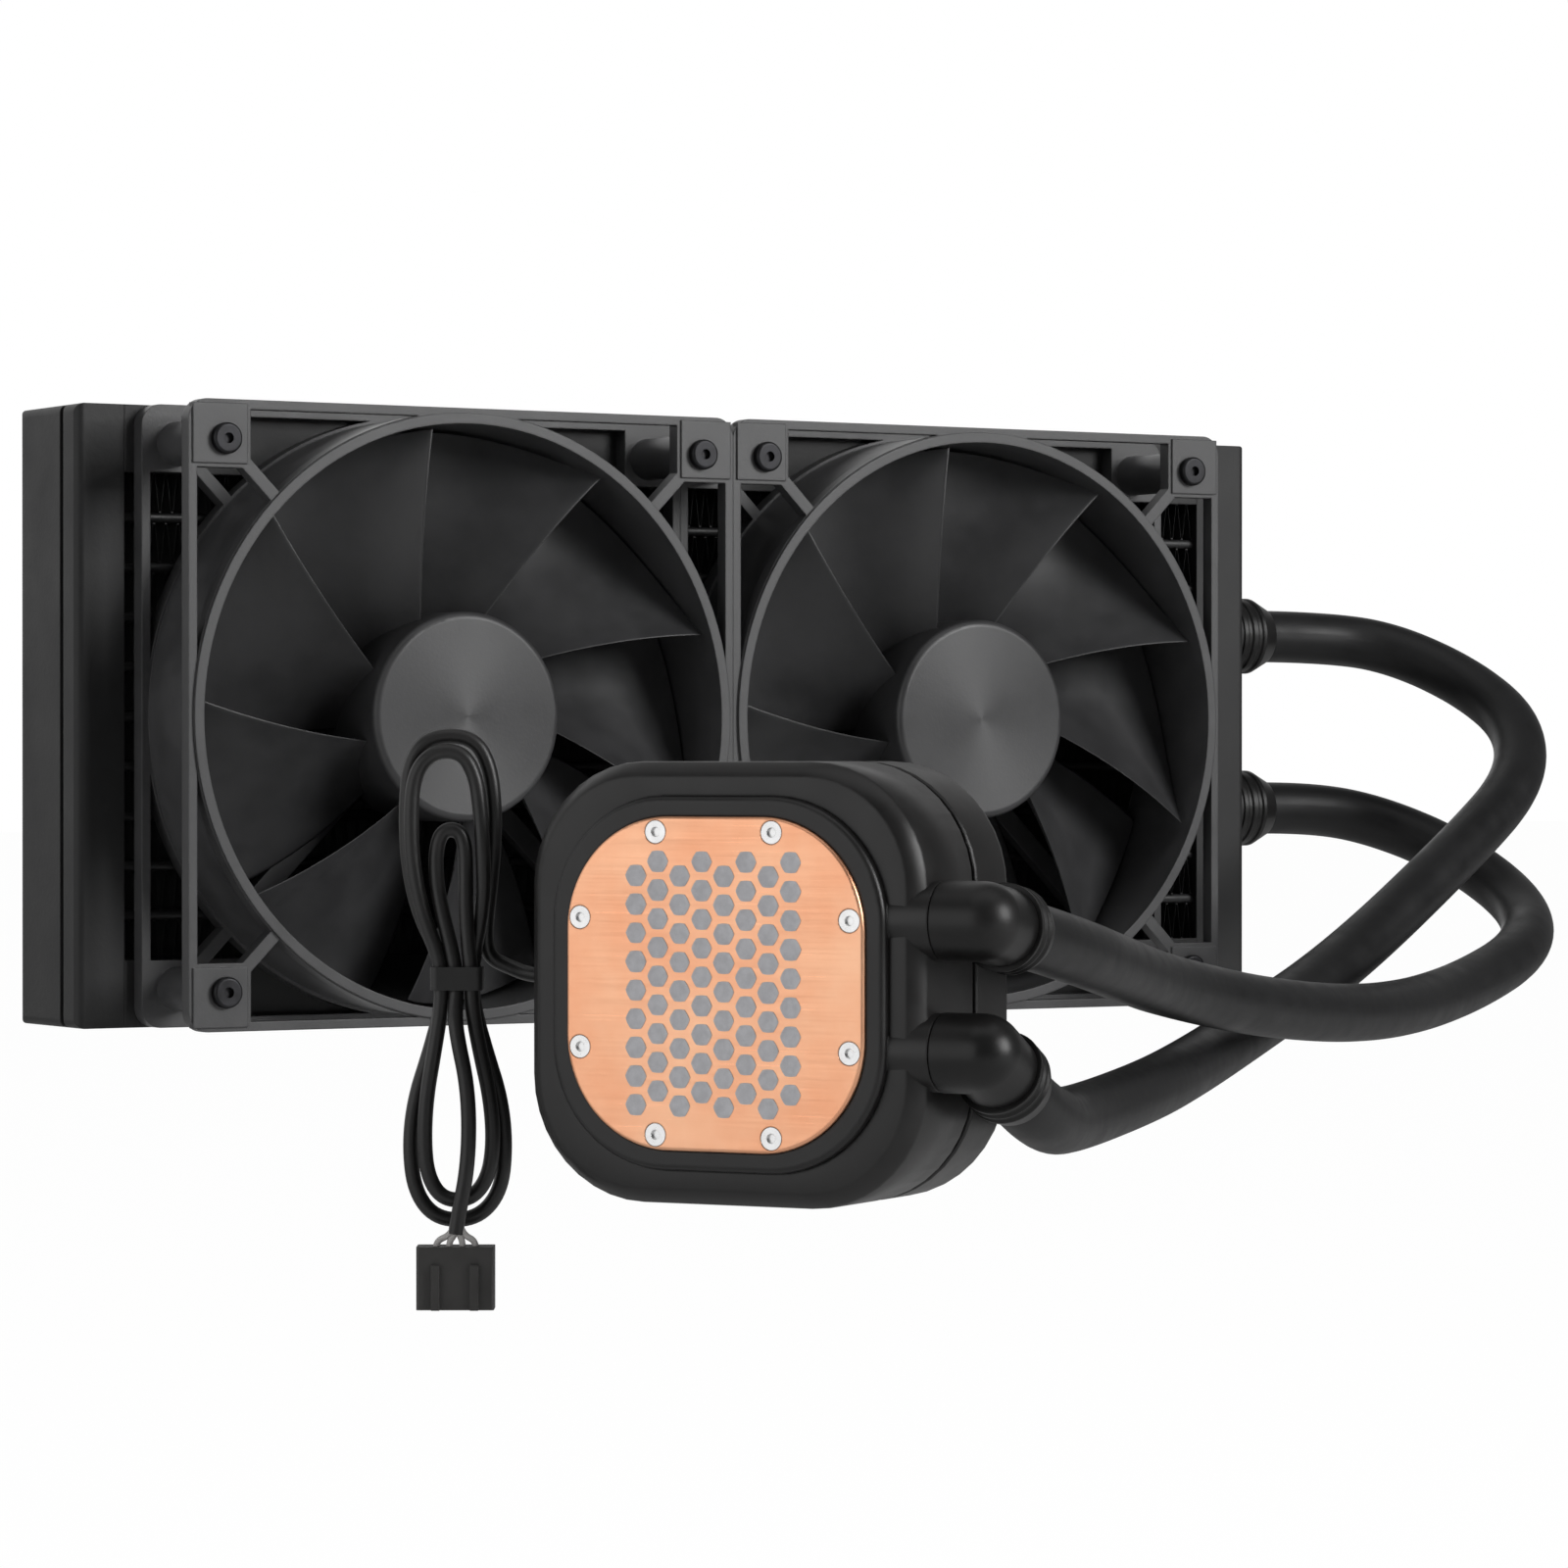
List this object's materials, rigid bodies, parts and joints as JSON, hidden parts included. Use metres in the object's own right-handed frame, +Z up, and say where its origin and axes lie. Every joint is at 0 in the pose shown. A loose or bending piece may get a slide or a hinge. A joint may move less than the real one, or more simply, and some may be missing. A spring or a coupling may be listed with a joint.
{
  "type": "all in one cpu liquid cooler",
  "caption": "Closed liquid cooler: a long finned radiator with fans on its front, joined by a pair of flexible hoses to a round-cornered pump block with a copper cold plate and a tied pump lead.",
  "frame": {"origin": "centre of the radiator's screw pattern, on its rear face", "axes": "+X along the radiator towards the hose ports, +Y out of its rear face, +Z up"},
  "size_m": [0.3393, 0.2564, 0.1619],
  "materials": {
    "radiator_paint": "satin black paint",
    "core_paint": "thin black paint on aluminium",
    "fan_plastic": "matte",
    "rotor_plastic": "matte",
    "block_plastic": "satin",
    "copper": "fine ground copper",
    "paste": "grey thermal compound",
    "steel": "bright",
    "black_steel": "black oxide",
    "hose_rubber": "satin rubber",
    "seal_rubber": "matte rubber",
    "cable_jacket": "satin",
    "plug_plastic": "matte",
    "magnet": "dark ferrite",
    "stator_steel": "stacked sheet",
    "winding": "enamelled wire",
    "board": "lacquered",
    "bearing_bronze": "sintered bronze",
    "ceramic": "polished",
    "wheel_plastic": "matte"
  },
  "bodies": {
    "cooler": {"tank_left": "radiator_paint", "tank_right": "radiator_paint", "rail_top": "radiator_paint", "rail_bottom": "radiator_paint", "core_tubes": "core_paint", "core_fins": "core_paint", "port_collar_upper": "block_plastic", "port_collar_lower": "block_plastic", "fan_frame_left": "fan_plastic", "fan_bearing_left": "bearing_bronze", "fan_stator_left": "stator_steel", "fan_coils_left": "winding", "fan_board_left": "board", "fan_screws_left": "black_steel", "fan_frame_right": "fan_plastic", "fan_bearing_right": "bearing_bronze", "fan_stator_right": "stator_steel", "fan_coils_right": "winding", "fan_board_right": "board", "fan_screws_right": "black_steel", "cold_plate": "copper", "cold_plate_screws": "steel", "thermal_paste": "paste", "plate_gasket": "seal_rubber", "pump_base": "block_plastic", "flow_plate": "wheel_plastic", "pump_shaft": "ceramic", "pump_stator": "stator_steel", "pump_coils": "winding", "pump_board": "board", "pump_housing": "block_plastic", "pump_cap": "block_plastic", "hose_upper": "hose_rubber", "hose_lower": "hose_rubber", "cable_boot": "cable_jacket", "cable_lead": "cable_jacket", "cable_hank": "cable_jacket", "cable_tie": "plug_plastic", "cable_tail": "cable_jacket", "cable_plug": "plug_plastic"},
    "left_fan_rotor": {"fan_rotor_left": "rotor_plastic", "fan_shaft_left": "steel", "fan_magnet_left": "magnet"},
    "right_fan_rotor": {"fan_rotor_right": "rotor_plastic", "fan_shaft_right": "steel", "fan_magnet_right": "magnet"},
    "pump_wheel": {"impeller": "wheel_plastic", "impeller_magnet": "magnet"},
    "upper_elbow": {"elbow_upper": "block_plastic", "elbow_seal_upper": "seal_rubber", "hose_sleeve_upper": "block_plastic"},
    "lower_elbow": {"elbow_lower": "block_plastic", "elbow_seal_lower": "seal_rubber", "hose_sleeve_lower": "block_plastic"}
  },
  "joints": [
    {"name": "left_fan_spin", "type": "hinge", "parent": "cooler", "child": "left_fan_rotor", "pos_m": [-0.06, -0.04, 0], "axis": [0, 1, 0], "continuous": true},
    {"name": "right_fan_spin", "type": "hinge", "parent": "cooler", "child": "right_fan_rotor", "pos_m": [0.06, -0.04, 0], "axis": [0, 1, 0], "continuous": true},
    {"name": "pump_spin", "type": "hinge", "parent": "cooler", "child": "pump_wheel", "pos_m": [-0.1028, -0.2155, -0.0455], "axis": [0.8554, 0.518, 0], "continuous": true},
    {"name": "upper_elbow_swivel", "type": "hinge", "parent": "cooler", "child": "upper_elbow", "pos_m": [-0.07206, -0.24984, -0.03475], "axis": [0.518, -0.8554, 0], "range_deg": [-12, 30], "deforming": ["hose_lower"]},
    {"name": "lower_elbow_swivel", "type": "hinge", "parent": "cooler", "child": "lower_elbow", "pos_m": [-0.07206, -0.24984, -0.05625], "axis": [0.518, -0.8554, 0], "range_deg": [-30, 12], "deforming": ["hose_upper"]}
  ]
}
